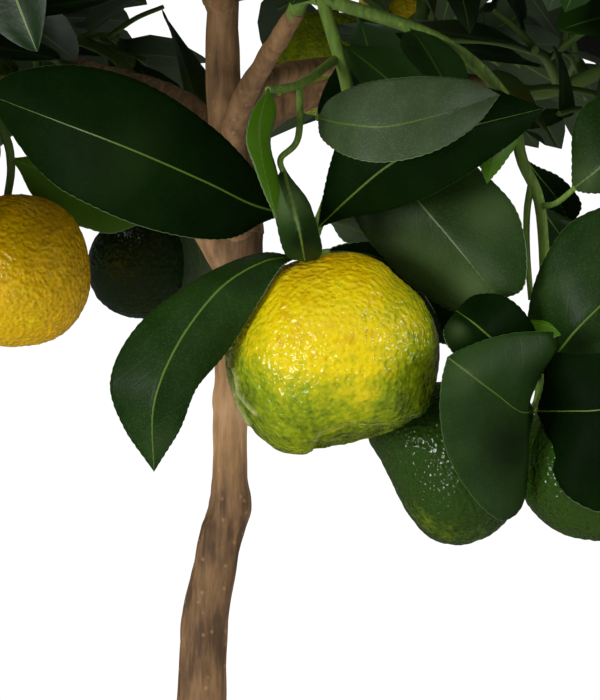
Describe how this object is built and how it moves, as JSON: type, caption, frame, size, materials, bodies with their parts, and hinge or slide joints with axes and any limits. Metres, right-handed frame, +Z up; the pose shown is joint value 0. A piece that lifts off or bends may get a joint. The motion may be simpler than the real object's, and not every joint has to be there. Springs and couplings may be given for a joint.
{
  "type": "potted sweet lime tree",
  "caption": "Young citrus standard: slim bare trunk, rounded crown of glossy dark leaves with ripening yellow and green fruit, growing in a plain round clay pot.",
  "frame": {"origin": "centre of the pot's flat underside", "axes": "+Z up along the trunk, -Y towards the front, where the low fruiting spray hangs, +X to the right seen from the front"},
  "size_m": [0.4126, 0.3935, 0.7986],
  "materials": {
    "pot": "unglazed fired clay, matt, faint turning marks",
    "potting_mix": "moist composted bark and fibre, matt and crumbly",
    "bark": "thin tan-brown bark with lengthwise grain, matt",
    "foliage": "glossy dark green leaf, pale midrib and margin"
  },
  "bodies": {
    "root": {"pot": "pot", "potting_mix": "potting_mix", "trunk": "bark", "bough_leader": "bark", "bough_front": "bark", "bough_left": "bark", "bough_right": "bark", "bough_back_left": "bark", "bough_back_right": "bark", "bough_front_left": "bark", "bough_front_right": "bark", "bough_left_high": "bark", "bough_right_high": "bark", "bough_back_high": "bark", "foliage_front": "foliage", "foliage_left": "foliage", "foliage_right": "foliage", "foliage_back_left": "foliage", "foliage_back_right": "foliage", "foliage_front_left": "foliage", "foliage_front_right": "foliage", "foliage_left_high": "foliage", "foliage_right_high": "foliage", "foliage_back_high": "foliage", "foliage_leader": "foliage"}
  },
  "joints": []
}
